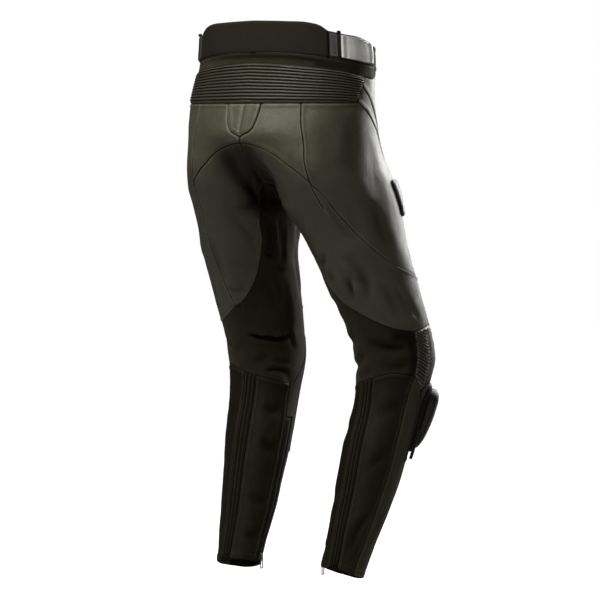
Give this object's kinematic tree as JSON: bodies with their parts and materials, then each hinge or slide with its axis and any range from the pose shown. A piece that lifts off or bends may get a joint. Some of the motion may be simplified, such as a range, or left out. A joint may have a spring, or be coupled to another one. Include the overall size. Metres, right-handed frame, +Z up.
{
  "type": "leather motorcycle trousers",
  "caption": "Leather motorcycle trousers in their worn shape: ribbed lower back and knees, stretch inner-leg panels, knee sliders, adjustable waistband and ankle zips.",
  "frame": {"origin": "middle of the waist, inside the waistband, where the wearer's waist holds the trousers", "axes": "+Z up along the wearer, the front towards -Y, the wearer's left leg towards +X"},
  "size_m": [0.425, 0.3875, 1.0088],
  "materials": {
    "leather": "semi-matt grained leather",
    "leather_dark": "matt dark grained leather",
    "leather_strip": "matt leather, a little lighter",
    "leather_strap": "semi-gloss leather strap",
    "waistband": "smooth matt band",
    "knit": "matt stretch knit",
    "slider": "satin moulded plastic",
    "hard_black": "black moulded plastic",
    "metal": "satin metal"
  },
  "bodies": {
    "trousers": {"ankle_zip_left": "hard_black", "ankle_zip_right": "hard_black", "back_accordion": "leather", "back_thigh_left": "leather", "back_thigh_right": "leather", "calf_gusset_left": "knit", "calf_gusset_right": "knit", "calf_inner_left": "leather_dark", "calf_inner_right": "leather_dark", "calf_outer_left": "leather_dark", "calf_outer_right": "leather_dark", "fly_flap": "leather", "front_thigh_left": "leather", "front_thigh_right": "leather", "hip_left": "leather", "hip_right": "leather", "hip_strip_left": "leather", "hip_strip_right": "leather", "knee_accordion_left": "leather_dark", "knee_accordion_right": "leather_dark", "knee_panel_left": "leather_dark", "knee_panel_right": "leather_dark", "knee_slider_left": "slider", "knee_slider_right": "slider", "seat_left": "leather", "seat_right": "leather", "shin_panel_left": "leather_dark", "shin_panel_right": "leather_dark", "shin_strip_left": "leather_strip", "shin_strip_right": "leather_strip", "side_thigh_left": "leather", "side_thigh_right": "leather", "slider_base_left": "hard_black", "slider_base_right": "hard_black", "strap_ring_left": "hard_black", "strap_ring_right": "hard_black", "strap_tab_left": "leather_strap", "strap_tab_right": "leather_strap", "stretch_band": "knit", "stretch_left": "knit", "stretch_right": "knit", "tailbone_pad": "leather", "thigh_patch": "hard_black", "waist_strap_left": "leather_strap", "waist_strap_right": "leather_strap", "waistband_back": "waistband", "waistband_front_left": "waistband", "waistband_front_right": "waistband", "waistband_side_left": "waistband", "waistband_side_right": "waistband", "zip_slider_left": "metal", "zip_slider_right": "metal"},
    "pull_left": {"zip_pull_left": "metal"},
    "pull_right": {"zip_pull_right": "metal"}
  },
  "joints": [
    {"name": "pull_left_swing", "type": "hinge", "parent": "trousers", "child": "pull_left", "pos_m": [0.06642, -0.01039, -0.9176], "axis": [0, 1, 0], "range_deg": [0, 60]},
    {"name": "pull_right_swing", "type": "hinge", "parent": "trousers", "child": "pull_right", "pos_m": [-0.06642, -0.01039, -0.9176], "axis": [0, -1, 0], "range_deg": [0, 60]}
  ]
}
